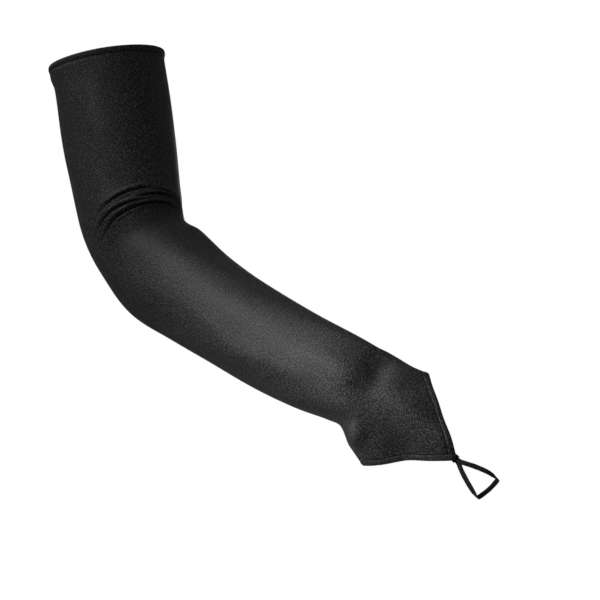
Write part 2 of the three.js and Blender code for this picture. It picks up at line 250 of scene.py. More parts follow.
def cloth_points(length, angle, outset):
    """Places on the cloth, moved out from it by an outset."""
    length, angle, outset = np.broadcast_arrays(length, angle, outset)
    station = station_at(length)
    _, front, side = heading_frame(down_at(station), lean_at(station))
    cosine, sine = np.cos(np.radians(angle)), np.sin(np.radians(angle))
    wide = np.where(cosine > 0, inner_at(station), outer_at(station))
    deep = np.where(sine > 0, front_at(station), back_at(station))
    out = outset + relief(station, angle) + slack(station, angle)
    middle = np.stack([np.interp(length, line_lengths, line_points[:, i]) for i in range(3)], -1)
    return middle + side * ((wide + out) * cosine)[..., None] + front * ((deep + out) * sine)[..., None]


def edge_length(angle):
    """Where the sleeve ends at an angle: a V on the back, straight across the palm side."""
    rise = np.where(np.sin(np.radians(angle)) > 0, 1 - np.abs(np.cos(np.radians(angle))), 0)
    return TOTAL_LENGTH - POINT_LENGTH * (1 - rise)


SLANT_EASE = 0.3


def slant(angle):
    """How much longer a cut square to the V is along the sleeve, easing to 1 on the palm side."""
    sloped = math.hypot(1, POINT_LENGTH / (HAND_WIDTH / 2))
    return 1 + (sloped - 1) * smooth_step(0, SLANT_EASE, np.sin(np.radians(angle)))


def cloth_object(name, points, faces, u, v):
    """A smooth mesh with a UV map in metres, which has a u and a v for each corner of the faces."""
    mesh = bpy.data.meshes.new(name)
    mesh.from_pydata(points.reshape(-1, 3).tolist(), [], faces)
    layer = mesh.uv_layers.new(name="cloth")
    layer.data.foreach_set("uv", np.stack([u, v], -1).reshape(-1).astype(np.float32))
    mesh.polygons.foreach_set("use_smooth", np.ones(len(mesh.polygons), bool))
    mesh.update()
    thing = bpy.data.objects.new(name, mesh)
    bpy.context.scene.collection.objects.link(thing)
    return thing


MEAN_GIRTH = math.pi * 0.067


def ring_mesh(name, points, lengths, angles):
    """A closed wall from a grid of points that goes round the opening and round its own section."""
    rows, columns = points.shape[:2]
    index = np.arange(rows * columns).reshape(rows, columns)
    below = np.roll(index, -1, axis=0)
    quads = np.stack([index, np.roll(index, -1, 1), np.roll(below, -1, 1), below], -1).reshape(-1, 4)
    ends = np.roll(lengths, -1, axis=0)
    beside = angles + 360 / columns
    u = np.stack([angles, beside, beside, angles], -1) / 360 * MEAN_GIRTH
    v = np.stack([lengths, lengths, ends, ends], -1)
    return cloth_object(name, points, quads.tolist(), u, v)


HEM_WIDTH = 0.005
SLEEVE_COLUMNS = 168
TURN_STATION = 2.05
HAND_ROWS = 44
SLEEVE_STRETCHES = [
    dict(to=0.66, rows=34),
    dict(to=0.98, rows=120),
    dict(to=1.3, rows=24),
    dict(to=TURN_STATION, rows=46),
]
UNDER_HEM = 0.0006

stations = [np.array([station_at(HEM_WIDTH - UNDER_HEM)])]
for stretch in SLEEVE_STRETCHES:
    stations.append(np.linspace(stations[-1][-1], stretch["to"], stretch["rows"] + 1)[1:])
straight = length_at(np.concatenate(stations))
sleeve_angles = np.arange(SLEEVE_COLUMNS) * 360 / SLEEVE_COLUMNS
sleeve_end = edge_length(sleeve_angles) - (HEM_WIDTH - UNDER_HEM) * slant(sleeve_angles)
beyond = np.linspace(0, 1, HAND_ROWS + 1)[1:, None]
turn_length = length_at(TURN_STATION)
outside = np.vstack([
    np.repeat(straight[:, None], SLEEVE_COLUMNS, 1),
    turn_length + (sleeve_end - turn_length) * beyond,
])
wall_lengths = np.vstack([outside, outside[::-1]])
wall_angles = np.broadcast_to(sleeve_angles, wall_lengths.shape)
wall_outset = np.repeat([0, -CLOTH], len(outside))[:, None]
wall_points = cloth_points(wall_lengths, wall_angles, wall_outset)
sleeve = ring_mesh("sleeve_cloth", wall_points, wall_lengths, wall_angles)


def node_group(name, inputs, outputs):
    """An empty shader group with named float and vector sockets."""
    group = bpy.data.node_groups.new(name, "ShaderNodeTree")
    for socket, kind, value in inputs:
        made = group.interface.new_socket(socket, in_out="INPUT", socket_type=kind)
        if value is not None:
            made.default_value = value
    for socket, kind in outputs:
        group.interface.new_socket(socket, in_out="OUTPUT", socket_type=kind)
    return group, group.nodes.new("NodeGroupInput"), group.nodes.new("NodeGroupOutput")


def math_value(tree, operation, first, second):
    """What a Math node makes of two numbers or outputs."""
    node = tree.nodes.new("ShaderNodeMath")
    node.operation = operation
    for socket, value in zip(node.inputs, (first, second)):
        if isinstance(value, (int, float)):
            socket.default_value = value
        else:
            tree.links.new(value, socket)
    return node.outputs["Value"]


FLOAT_LENGTH = 2.0
SATIN_GRAIN = 1900.0
SATIN_RIB = 560.0
RIB_SHARE = 0.5
FLOAT_SLANT, CROSS_SLANT = 38, -52
GLINT_FROM, GLINT_TO = 0.565, 0.64
PATCH_SCALE = 38


def make_satin_grain():
    """Knitted satin: slanting floats that catch the light here and there, over a fine rib."""
    group, given, result = node_group(
        "satin_grain",
        [("Vector", "NodeSocketVector", None), ("Float Length", "NodeSocketFloat", FLOAT_LENGTH),
         ("Grain", "NodeSocketFloat", SATIN_GRAIN), ("Rib", "NodeSocketFloat", SATIN_RIB)],
        [("Glint", "NodeSocketFloat"), ("Height", "NodeSocketFloat"), ("Patch", "NodeSocketFloat")],
    )
    nodes, links = group.nodes, group.links

    def slanted(turn, seed):
        mapping = nodes.new("ShaderNodeMapping")
        mapping.inputs["Rotation"].default_value = (0, 0, math.radians(turn))
        links.new(given.outputs["Vector"], mapping.inputs["Vector"])
        squeeze = nodes.new("ShaderNodeVectorMath")
        squeeze.operation = "DIVIDE"
        combine = nodes.new("ShaderNodeCombineXYZ")
        combine.inputs["X"].default_value = 1
        combine.inputs["Z"].default_value = 1
        links.new(given.outputs["Float Length"], combine.inputs["Y"])
        links.new(mapping.outputs["Vector"], squeeze.inputs[0])
        links.new(combine.outputs["Vector"], squeeze.inputs[1])
        noise = nodes.new("ShaderNodeTexNoise")
        noise.noise_dimensions = "4D"
        noise.inputs["W"].default_value = seed
        noise.inputs["Detail"].default_value = 1
        noise.inputs["Roughness"].default_value = 0.6
        links.new(squeeze.outputs["Vector"], noise.inputs["Vector"])
        links.new(given.outputs["Grain"], noise.inputs["Scale"])
        return noise.outputs["Fac"]

    floats = math_value(
        group, "MAXIMUM", slanted(FLOAT_SLANT, seed=1.0), slanted(CROSS_SLANT, seed=5.0))
    spread = nodes.new("ShaderNodeMapRange")
    spread.inputs["From Min"].default_value = GLINT_FROM
    spread.inputs["From Max"].default_value = GLINT_TO
    links.new(floats, spread.inputs["Value"])
    rib = nodes.new("ShaderNodeTexWave")
    rib.bands_direction = "DIAGONAL"
    rib.inputs["Distortion"].default_value = 1.5
    rib.inputs["Detail"].default_value = 1
    rib.inputs["Detail Scale"].default_value = 3
    links.new(given.outputs["Vector"], rib.inputs["Vector"])
    links.new(given.outputs["Rib"], rib.inputs["Scale"])
    patch = nodes.new("ShaderNodeTexNoise")
    patch.inputs["Scale"].default_value = PATCH_SCALE
    patch.inputs["Detail"].default_value = 3
    links.new(given.outputs["Vector"], patch.inputs["Vector"])
    ribs = math_value(group, "MULTIPLY", rib.outputs["Fac"], RIB_SHARE)
    height = math_value(group, "ADD", spread.outputs["Result"], ribs)
    links.new(spread.outputs["Result"], result.inputs["Glint"])
    links.new(height, result.inputs["Height"])
    links.new(patch.outputs["Fac"], result.inputs["Patch"])
    return group


satin_grain = make_satin_grain()


def new_material(name, **values):
    """A material with its shader's plain values set. A value's name has _ for each space."""
    material = bpy.data.materials.new(name)
    material.use_nodes = True
    shader = material.node_tree.nodes["Principled BSDF"]
    for socket, value in values.items():
        shader.inputs[socket.replace("_", " ")].default_value = value
    return material, material.node_tree, shader


def laid_grain(tree, grain):
    """The satin grain on a piece's own UV map, and that map."""
    place = tree.nodes.new("ShaderNodeUVMap")
    place.uv_map = "cloth"
    knit = tree.nodes.new("ShaderNodeGroup")
    knit.node_tree = satin_grain
    knit.inputs["Grain"].default_value = grain
    tree.links.new(place.outputs["UV"], knit.inputs["Vector"])
    return knit.outputs, place.outputs["UV"]


def colour_between(tree, share, dark, light):
    """A colour that goes from dark to light with a share."""
    mix = tree.nodes.new("ShaderNodeMix")
    mix.data_type = "RGBA"
    mix.inputs["A"].default_value = (*dark, 1)
    mix.inputs["B"].default_value = (*light, 1)
    tree.links.new(share, mix.inputs["Factor"])
    return mix.outputs["Result"]


def value_between(tree, share, low, high):
    """A value that goes from low to high with a share."""
    spread = tree.nodes.new("ShaderNodeMapRange")
    spread.inputs["To Min"].default_value = low
    spread.inputs["To Max"].default_value = high
    tree.links.new(share, spread.inputs["Value"])
    return spread.outputs["Result"]


def bumped(tree, height, strength, distance):
    """The normal of a surface that a height roughens, by a distance in metres."""
    surface = tree.nodes.new("ShaderNodeBump")
    surface.inputs["Strength"].default_value = strength
    surface.inputs["Distance"].default_value = distance
    tree.links.new(height, surface.inputs["Height"])
    return surface.outputs["Normal"]


PATCH_DARK, PATCH_LIGHT = 0.8, 1.2
GROUND_ROUGHER = 0.12
GLINT_SMOOTHER = 0.07
SATIN_RELIEF = 0.0003


def satin_material(name, dark, light, rough, bump):
    """Black satin: its roughness follows the glinting floats of the knit, and its colour lightens on them as
    painted glints.
    """
    material, tree, shader = new_material(
        name, Specular_IOR_Level=0.5, Sheen_Weight=0.04, Sheen_Roughness=0.45)
    knit, _ = laid_grain(tree, SATIN_GRAIN)
    shade = tree.nodes.new("ShaderNodeMix")
    shade.data_type = "RGBA"
    shade.blend_type = "MULTIPLY"
    shade.inputs["Factor"].default_value = 1
    # Painted glints: the colour goes from black to a light grey on the glinting floats.
    tree.links.new(colour_between(tree, knit["Glint"], dark, light), shade.inputs["A"])
    tree.links.new(value_between(tree, knit["Patch"], PATCH_DARK, PATCH_LIGHT), shade.inputs["B"])
    tree.links.new(shade.outputs["Result"], shader.inputs["Base Color"])
    gloss = value_between(tree, knit["Glint"], rough + GROUND_ROUGHER, rough - GLINT_SMOOTHER)
    tree.links.new(gloss, shader.inputs["Roughness"])
    tree.links.new(bumped(tree, knit["Height"], bump, SATIN_RELIEF), shader.inputs["Normal"])
    return material


SATIN_BLACK = (0.0006, 0.0006, 0.0008)
# Painted glints: the light grey that the sleeve's colour takes on its glinting floats.
SLEEVE_PAINTED_GLINT = (0.19, 0.19, 0.202)
stretch_satin = satin_material("stretch_satin", SATIN_BLACK, SLEEVE_PAINTED_GLINT, rough=0.3, bump=0.4)
sleeve.data.materials.append(stretch_satin)
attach(sleeve, "root")
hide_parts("sleeve")

# Hems. At each end the satin is folded in 5 mm and stitched down, which leaves a soft roll
# between the edge and the row of stitches, and a shallow groove along the row.
HEM_THICK = 0.0016
HEM_COLUMNS = 480
HEM_RADIUS = 0.034
GROOVE_PLACE = 0.86
STITCH_PITCH = 0.0026
PUCKER_HEIGHT = 0.00007
PUCKER_WIDTH = 0.22
# Painted glints: the light grey that the hem's colour takes on its glinting floats.
HEM_PAINTED_GLINT = (0.14, 0.14, 0.15)

# The hem's section, from the fold at the free edge over its outside to the sleeve and back inside.
HEM_OUTLINE = [
    dict(across=-0.02, out=-0.0011),
    dict(across=0.0, out=-0.0007),
    dict(across=0.05, out=-0.00025),
    dict(across=0.16, out=0.0001),
    dict(across=0.34, out=0.00032),
    dict(across=0.52, out=0.00042),
    dict(across=0.66, out=0.00034),
    dict(across=0.78, out=0.00002),
    dict(across=GROOVE_PLACE, out=-0.00048),
    dict(across=0.93, out=-0.0003),
    dict(across=1.0, out=-0.00006),
    dict(across=1.06, out=-0.0002),
    dict(across=1.06, out=-0.0009),
    dict(across=1.0, out=-HEM_THICK + 0.0001),
    dict(across=0.8, out=-HEM_THICK),
    dict(across=0.3, out=-HEM_THICK),
    dict(across=0.06, out=-HEM_THICK + 0.0002),
]


def rim_edge(angle):
    return 0 * angle


def rim_inside(angle):
    return HEM_WIDTH + 0 * angle


def hand_inside(angle):
    return edge_length(angle) - HEM_WIDTH * slant(angle)


def hem_ring(name, edge_of, inside_of):
    """A hem's roll between its edge and its inside, puckered a little at each stitch."""
    angles = np.arange(HEM_COLUMNS) * 360 / HEM_COLUMNS
    edge, inside = edge_of(angles), inside_of(angles)
    across = np.array([row["across"] for row in HEM_OUTLINE])[:, None]
    out = np.array([row["out"] for row in HEM_OUTLINE])[:, None]
    lengths = edge + (inside - edge) * across
    pucker = np.cos(angles / 360 * 2 * math.pi * round(2 * math.pi * HEM_RADIUS / STITCH_PITCH))
    near_row = np.exp(-((across - GROOVE_PLACE) / PUCKER_WIDTH) ** 2)
    outset = out + PUCKER_HEIGHT * pucker * near_row
    everywhere = np.broadcast_to(angles, lengths.shape)
    points = cloth_points(np.clip(lengths, 0, TOTAL_LENGTH), everywhere, outset)
    return ring_mesh(name, points, lengths, everywhere)


upper_hem = hem_ring("upper_hem_roll", rim_edge, rim_inside)
hand_hem = hem_ring("hand_hem_roll", edge_length, hand_inside)
hem_satin = satin_material("hem_satin", SATIN_BLACK, HEM_PAINTED_GLINT, rough=0.38, bump=0.6)
for hem, node in ((upper_hem, "upper_hem"), (hand_hem, "hand_hem")):
    hem.data.materials.append(hem_satin)
    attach(hem, "root")
    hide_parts(node)

# Stitches. One row of black lockstitch runs round each hem, just over 4 mm in from the edge, and
# draws the satin into its groove. Each visible stitch is a short float of twisted thread.
STITCH_LENGTH = 0.0021
THREAD_THICK = 0.00034
STITCH_SINK = 0.00012
STITCH_SEED = 5
ROW_POINTS = 360
THREAD_TWIST = 4200
THREAD_DARK = (0.002, 0.002, 0.0023)
THREAD_LIGHT = (0.008, 0.0075, 0.0075)


def thread_material():
    """Spun black thread: a fine twist in the bump, almost no gloss."""
    material, tree, shader = new_material("black_thread", Sheen_Weight=0.02, Specular_IOR_Level=0.12)
    where = tree.nodes.new("ShaderNodeTexCoord")
    twist = tree.nodes.new("ShaderNodeTexNoise")
    twist.inputs["Scale"].default_value = THREAD_TWIST
    twist.inputs["Detail"].default_value = 2
    tree.links.new(where.outputs["Object"], twist.inputs["Vector"])
    fibre = twist.outputs["Fac"]
    tree.links.new(colour_between(tree, fibre, THREAD_DARK, THREAD_LIGHT), shader.inputs["Base Color"])
    tree.links.new(value_between(tree, fibre, low=0.62, high=0.82), shader.inputs["Roughness"])
    tree.links.new(bumped(tree, fibre, strength=0.5, distance=0.0001), shader.inputs["Normal"])
    return material


black_thread = thread_material()


def tree_with(name, inputs):
    """An empty Geometry Nodes tree with named inputs, and its input and output nodes."""
    tree = bpy.data.node_groups.new(name, "GeometryNodeTree")
    tree.interface.new_socket("Geometry", in_out="INPUT", socket_type="NodeSocketGeometry")
    for socket, kind, value in inputs:
        made = tree.interface.new_socket(socket, in_out="INPUT", socket_type=kind)
        made.default_value = value
    tree.interface.new_socket("Geometry", in_out="OUTPUT", socket_type="NodeSocketGeometry")
    return tree, tree.nodes.new("NodeGroupInput"), tree.nodes.new("NodeGroupOutput")


def uneven_vector(tree, seed, low, high):
    """A vector that differs from point to point between two limits."""
    node = tree.nodes.new("FunctionNodeRandomValue")
    node.data_type = "FLOAT_VECTOR"
    node.inputs["Min"].default_value = low
    node.inputs["Max"].default_value = high
    tree.links.new(seed, node.inputs["Seed"])
    return node.outputs["Value"]


def end_in_thread(tree, result, points, shape, rotation, scale):
    """Put a shape on each point, and end the tree in one smooth mesh of black thread."""
    placed = tree.nodes.new("GeometryNodeInstanceOnPoints")
    for socket, value in zip(("Points", "Instance", "Rotation", "Scale"), (points, shape, rotation, scale)):
        tree.links.new(value, placed.inputs[socket])
    real = tree.nodes.new("GeometryNodeRealizeInstances")
    tree.links.new(placed.outputs["Instances"], real.inputs["Geometry"])
    smooth = tree.nodes.new("GeometryNodeSetShadeSmooth")
    tree.links.new(real.outputs["Geometry"], smooth.inputs["Geometry"])
    finish = tree.nodes.new("GeometryNodeSetMaterial")
    finish.inputs["Material"].default_value = black_thread
    tree.links.new(smooth.outputs["Geometry"], finish.inputs["Geometry"])
    tree.links.new(finish.outputs["Geometry"], result.inputs["Geometry"])


STITCH_SMALL = (0.9, 0.9, 0.88)
STITCH_LARGE = (1.1, 1.1, 1.04)


def stitch_tree():
    """A row of slim rounded stitches along a line, each a little uneven."""
    tree, given, result = tree_with("stitch_row", [
        ("Pitch", "NodeSocketFloat", STITCH_PITCH),
        ("Stitch Length", "NodeSocketFloat", STITCH_LENGTH),
        ("Thread Thickness", "NodeSocketFloat", THREAD_THICK),
        ("Seed", "NodeSocketInt", STITCH_SEED),
    ])
    nodes, links = tree.nodes, tree.links
    row = nodes.new("GeometryNodeMeshToCurve")
    spaced = nodes.new("GeometryNodeResampleCurve")
    spaced.mode = "LENGTH"
    stitch = nodes.new("GeometryNodeMeshUVSphere")
    stitch.inputs["Segments"].default_value = 8
    stitch.inputs["Rings"].default_value = 6
    stitch.inputs["Radius"].default_value = 0.5
    size = nodes.new("ShaderNodeCombineXYZ")
    shaped = nodes.new("GeometryNodeTransform")
    tangent = nodes.new("GeometryNodeInputTangent")
    turned = nodes.new("FunctionNodeAlignRotationToVector")
    turned.axis = "Z"
    links.new(given.outputs["Geometry"], row.inputs["Mesh"])
    links.new(row.outputs["Curve"], spaced.inputs["Curve"])
    links.new(given.outputs["Pitch"], spaced.inputs["Length"])
    links.new(given.outputs["Thread Thickness"], size.inputs["X"])
    links.new(given.outputs["Thread Thickness"], size.inputs["Y"])
    links.new(given.outputs["Stitch Length"], size.inputs["Z"])
    links.new(stitch.outputs["Mesh"], shaped.inputs["Geometry"])
    links.new(size.outputs["Vector"], shaped.inputs["Scale"])
    links.new(tangent.outputs["Tangent"], turned.inputs["Vector"])
    uneven = uneven_vector(tree, given.outputs["Seed"], STITCH_SMALL, STITCH_LARGE)
    end_in_thread(
        tree, result, spaced.outputs["Curve"], shaped.outputs["Geometry"],
        turned.outputs["Rotation"], uneven)
    return tree


def grown(name, base_mesh, tree, **values):
    """The plain mesh that a tree makes from a base mesh."""
    seedling = bpy.data.objects.new(name + "_base", base_mesh)
    bpy.context.scene.collection.objects.link(seedling)
    modifier = seedling.modifiers.new("grow", "NODES")
    modifier.node_group = tree
    for item in tree.interface.items_tree:
        if item.in_out == "INPUT" and item.name in values:
            modifier[item.identifier] = values[item.name]
    ready = seedling.evaluated_get(bpy.context.evaluated_depsgraph_get())
    mesh = bpy.data.meshes.new_from_object(ready)
    mesh.name = name
    bpy.data.objects.remove(seedling)
    made = bpy.data.objects.new(name, mesh)
    bpy.context.scene.collection.objects.link(made)
    return made


stitch_row = stitch_tree()


def sew(name, edge_of, inside_of):
    """The row of stitches in the groove of a hem."""
    angles = np.arange(ROW_POINTS) * 360 / ROW_POINTS
    edge, inside = edge_of(angles), inside_of(angles)
    row = cloth_points(edge + (inside - edge) * GROOVE_PLACE, angles, -STITCH_SINK)
    line = bpy.data.meshes.new(name + "_line")
    line.from_pydata(row.tolist(), [(i, (i + 1) % ROW_POINTS) for i in range(ROW_POINTS)], [])
    sewn = grown(name, line, stitch_row, **{
        "Pitch": STITCH_PITCH, "Stitch Length": STITCH_LENGTH, "Thread Thickness": THREAD_THICK,
        "Seed": STITCH_SEED,
    })
    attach(sewn, "root")


sew("upper_hem_stitches", rim_edge, rim_inside)
sew("hand_hem_stitches", edge_length, hand_inside)

# Finger loop. A narrow woven strap, ribbed along its length, leaves the point of the hem, goes
# round in a loop wide enough for one finger and comes back under itself to the same place.
STRAP_WIDTH = 0.0032
STRAP_THICK = 0.0008
STRAP_GAP = 0.0003
HEM_PROUD = 0.0003
LOOP_REACH = 0.027
FINGER_WIDTH = 0.0175
FINGER_DEPTH = 0.015
FINGER_DOWN = 43
LOOP_STEPS = 432
STRAP_SIDES = 48
STRAP_RIBS = 4
RIB_DEPTH = 0.00005
CORNER_POWER = 0.42
WAVER_SHARE = 0.03
WAVER_RATE, WAVER_DRIFT = 700, 230

# The strap's middle line: shares of the reach, finger width and finger depth, the layer, and the
# degrees that its flat face has turned.
LOOP = [
    dict(along=-0.16, across=0.02, rise=0.0, layer=1.0, facing=0),
    dict(along=0.04, across=0.03, rise=0.0, layer=1.0, facing=0),
    dict(along=0.18, across=0.12, rise=0.0, layer=0.95, facing=2),
    dict(along=0.39, across=0.27, rise=0.0, layer=0.5, facing=8),
    dict(along=0.7, across=0.44, rise=-0.05, layer=0.1, facing=25),
    dict(along=0.91, across=0.5, rise=-0.16, layer=0.0, facing=58),
    dict(along=1.0, across=0.51, rise=-0.36, layer=0.0, facing=88),
    dict(along=1.04, across=0.46, rise=-0.66, layer=0.0, facing=118),
    dict(along=1.06, across=0.27, rise=-0.92, layer=0.0, facing=150),
    dict(along=1.06, across=0.0, rise=-1.0, layer=0.0, facing=180),
    dict(along=1.03, across=-0.27, rise=-0.92, layer=0.0, facing=210),
    dict(along=0.99, across=-0.46, rise=-0.66, layer=0.0, facing=242),
    dict(along=0.94, across=-0.51, rise=-0.36, layer=0.0, facing=272),
    dict(along=0.86, across=-0.48, rise=-0.16, layer=0.0, facing=302),
    dict(along=0.7, across=-0.41, rise=-0.06, layer=0.0, facing=335),
    dict(along=0.48, across=-0.31, rise=-0.01, layer=0.0, facing=352),
    dict(along=0.23, across=-0.17, rise=0.0, layer=0.0, facing=358),
    dict(along=0.04, across=-0.04, rise=0.0, layer=0.0, facing=360),
    dict(along=-0.16, across=-0.02, rise=0.0, layer=0.0, facing=360),
]

point_of_hand = cloth_points(TOTAL_LENGTH, 90.0, 0.0)
finger_along, finger_front, finger_side = heading_frame(FINGER_DOWN, lean_at(3.0))
strap_height = HEM_PROUD + STRAP_GAP + STRAP_THICK / 2
layer_height = STRAP_THICK + STRAP_GAP


def finger_place(along, across, height):
    return point_of_hand + finger_along * along + finger_side * across + finger_front * height


def loop_line(steps):
    """Places on a curve through the loop's rows, spaced by the root of each span, with a row count."""
    heights = [strap_height + row["layer"] * layer_height + row["rise"] * FINGER_DEPTH for row in LOOP]
    knots = np.array([
        finger_place(row["along"] * LOOP_REACH, row["across"] * FINGER_WIDTH, height)
        for row, height in zip(LOOP, heights)
    ])
    knots = np.vstack([2 * knots[0] - knots[1], knots, 2 * knots[-1] - knots[-2]])
    spans = np.linalg.norm(np.diff(knots, axis=0), axis=1) ** 0.5
    count = np.linspace(0, len(LOOP) - 1, steps + 1)
    i = np.minimum(count.astype(int), len(LOOP) - 2)
    t = (count - i)[:, None]
    p0, p1, p2, p3 = (knots[i + k] for k in range(4))
    d0, d1, d2 = (spans[i + k][:, None] for k in range(3))
    leaving = ((p1 - p0) / d0 - (p2 - p0) / (d0 + d1) + (p2 - p1) / d1) * d1
    arriving = ((p2 - p1) / d1 - (p3 - p1) / (d1 + d2) + (p3 - p2) / d2) * d1
    square = -3 * p1 + 3 * p2 - 2 * leaving - arriving
    cube = 2 * p1 - 2 * p2 + leaving + arriving
    return p1 + leaving * t + square * t ** 2 + cube * t ** 3, count


def strap_section():
    """The strap's rounded flat outline with its lengthwise ribs."""
    turns = np.arange(STRAP_SIDES) / STRAP_SIDES * 2 * math.pi
    x = np.sign(np.cos(turns)) * np.abs(np.cos(turns)) ** CORNER_POWER * STRAP_WIDTH / 2
    y = np.sign(np.sin(turns)) * np.abs(np.sin(turns)) ** CORNER_POWER * STRAP_THICK / 2
    rib = RIB_DEPTH * (np.cos(x / STRAP_WIDTH * 2 * math.pi * STRAP_RIBS) - 1)
    return x, y + np.sign(y) * rib


loop_points, loop_rows = loop_line(LOOP_STEPS)
ahead = np.gradient(loop_points, axis=0)
ahead /= np.linalg.norm(ahead, axis=1, keepdims=True)
facing = np.radians(np.interp(loop_rows, range(len(LOOP)), [row["facing"] for row in LOOP]))[:, None]
flat = finger_front * np.cos(facing) + finger_side * np.sin(facing)
flat -= ahead * np.sum(flat * ahead, axis=1, keepdims=True)
flat /= np.linalg.norm(flat, axis=1, keepdims=True)
across = np.cross(ahead, flat)
travelled = np.concatenate([[0], np.cumsum(np.linalg.norm(np.diff(loop_points, axis=0), axis=1))])
section_x, section_y = strap_section()
waver = 1 + WAVER_SHARE * np.sin(travelled * WAVER_RATE) * np.sin(travelled * WAVER_DRIFT + 1)
strap_points = (
    loop_points[:, None] + across[:, None] * (section_x * waver[:, None])[..., None]
    + flat[:, None] * section_y[:, None]
)
strap_faces = []
for start in range(0, LOOP_STEPS * STRAP_SIDES, STRAP_SIDES):
    for i in range(STRAP_SIDES):
        here, beside = start + i, start + (i + 1) % STRAP_SIDES
        strap_faces.append((here, here + STRAP_SIDES, beside + STRAP_SIDES, beside))
strap_faces.append(tuple(range(STRAP_SIDES)))
strap_faces.append(tuple(LOOP_STEPS * STRAP_SIDES + i for i in reversed(range(STRAP_SIDES))))
corners = np.concatenate(strap_faces)
finger_loop = cloth_object(
    "finger_loop_strap", strap_points, strap_faces,
    section_x[corners % STRAP_SIDES], travelled[corners // STRAP_SIDES])

STRAP_WEFT = 950
STRAP_GRAIN = 1500
STRAP_DARK = (0.0035, 0.0014, 0.001)
# Painted glints: the brown that the strap's colour takes on its glinting floats.
STRAP_PAINTED_GLINT = (0.024, 0.0115, 0.0085)


def strap_material():
    """Woven strap, brownish black: ribs along it, a fine weft across, a soft silky gloss, and painted glints
    that lighten its colour on the floats.
    """
    material, tree, shader = new_material("strap_weave", Sheen_Weight=0.03, Sheen_Roughness=0.4)
    knit, place = laid_grain(tree, STRAP_GRAIN)
    weft = tree.nodes.new("ShaderNodeTexWave")
    weft.bands_direction = "Y"
    weft.inputs["Scale"].default_value = STRAP_WEFT
    weft.inputs["Distortion"].default_value = 0.8
    weft.inputs["Detail"].default_value = 1
    tree.links.new(place, weft.inputs["Vector"])
    # Painted glints: the colour lightens to a brownish grey on the glinting floats.
    tree.links.new(colour_between(tree, knit["Glint"], STRAP_DARK, STRAP_PAINTED_GLINT), shader.inputs["Base Color"])
    tree.links.new(value_between(tree, knit["Glint"], low=0.5, high=0.34), shader.inputs["Roughness"])
    height = math_value(tree, "ADD", weft.outputs["Fac"], knit["Height"])
    tree.links.new(bumped(tree, height, strength=0.4, distance=0.00012), shader.inputs["Normal"])
    return material


finger_loop.data.materials.append(strap_material())
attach(finger_loop, "root")
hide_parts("finger_loop")

# Bar tack. The strap's two ends lie one on the other on the point of the hem, and close wraps
# of black thread sewn across them hold both.
TACK_LENGTH = 0.005
TACK_WIDTH = 0.003
TACK_WRAPS = 15
TACK_RISE = 0.0009
TACK_THREAD = 0.00042
TACK_SEED = 3
TACK_PLACE = -0.08
TACK_LIFT = 0.0003
WRAP_SKEW = 0.16
WRAP_SMALL = (0.86, 0.9, 0.8)
WRAP_LARGE = (1.06, 1.1, 1.1)


def tack_tree():
    """Arched wraps of thread side by side in a bar, each a little uneven."""
    tree, given, result = tree_with("thread_wraps", [
        ("Wraps", "NodeSocketInt", TACK_WRAPS),
        ("Bar Length", "NodeSocketFloat", TACK_LENGTH),
        ("Wrap Width", "NodeSocketFloat", TACK_WIDTH),
        ("Rise", "NodeSocketFloat", TACK_RISE),
        ("Thread Thickness", "NodeSocketFloat", TACK_THREAD),
        ("Seed", "NodeSocketInt", TACK_SEED),
    ])
    nodes, links = tree.nodes, tree.links

    def place(**axes):
        node = nodes.new("ShaderNodeCombineXYZ")
        for axis, value in axes.items():
            links.new(value, node.inputs[axis])
        return node.outputs["Vector"]

    half = math_value(tree, "MULTIPLY", given.outputs["Wrap Width"], 0.5)
    top = math_value(tree, "MULTIPLY", given.outputs["Rise"], 2)
    arch = nodes.new("GeometryNodeCurveQuadraticBezier")
    arch.inputs["Resolution"].default_value = 12
    links.new(place(X=math_value(tree, "MULTIPLY", half, -1)), arch.inputs["Start"])
    links.new(place(Z=top), arch.inputs["Middle"])
    links.new(place(X=half), arch.inputs["End"])
    thread = nodes.new("GeometryNodeCurvePrimitiveCircle")
    thread.inputs["Resolution"].default_value = 8
    links.new(math_value(tree, "MULTIPLY", given.outputs["Thread Thickness"], 0.5), thread.inputs["Radius"])
    wrap = nodes.new("GeometryNodeCurveToMesh")
    wrap.inputs["Fill Caps"].default_value = True
    links.new(arch.outputs["Curve"], wrap.inputs["Curve"])
    links.new(thread.outputs["Curve"], wrap.inputs["Profile Curve"])
    bar = nodes.new("GeometryNodeMeshLine")
    bar.mode = "END_POINTS"
    links.new(given.outputs["Wraps"], bar.inputs["Count"])
    reach = math_value(tree, "MULTIPLY", given.outputs["Bar Length"], 0.5)
    links.new(place(Y=math_value(tree, "MULTIPLY", reach, -1)), bar.inputs["Start Location"])
    links.new(place(Y=reach), bar.inputs["Offset"])
    seed = given.outputs["Seed"]
    skew = uneven_vector(tree, seed, (0, 0, -WRAP_SKEW), (0, 0, WRAP_SKEW))
    uneven = uneven_vector(tree, seed, WRAP_SMALL, WRAP_LARGE)
    end_in_thread(tree, result, bar.outputs["Mesh"], wrap.outputs["Mesh"], skew, uneven)
    return tree


tack = grown("tack_wraps", bpy.data.meshes.new("tack_start"), tack_tree(), **{
    "Wraps": TACK_WRAPS, "Bar Length": TACK_LENGTH, "Wrap Width": TACK_WIDTH, "Rise": TACK_RISE,
    "Thread Thickness": TACK_THREAD, "Seed": TACK_SEED,
})
tack_base = finger_place(TACK_PLACE * LOOP_REACH, 0.0, strap_height + layer_height + TACK_LIFT)
tack_matrix = np.eye(4)
tack_matrix[:3, 0] = finger_along
tack_matrix[:3, 1] = -finger_side
tack_matrix[:3, 2] = finger_front
tack_matrix[:3, 3] = tack_base
tack.data.transform(Matrix(tack_matrix.tolist()))
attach(tack, "root")
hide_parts("loop_tack")

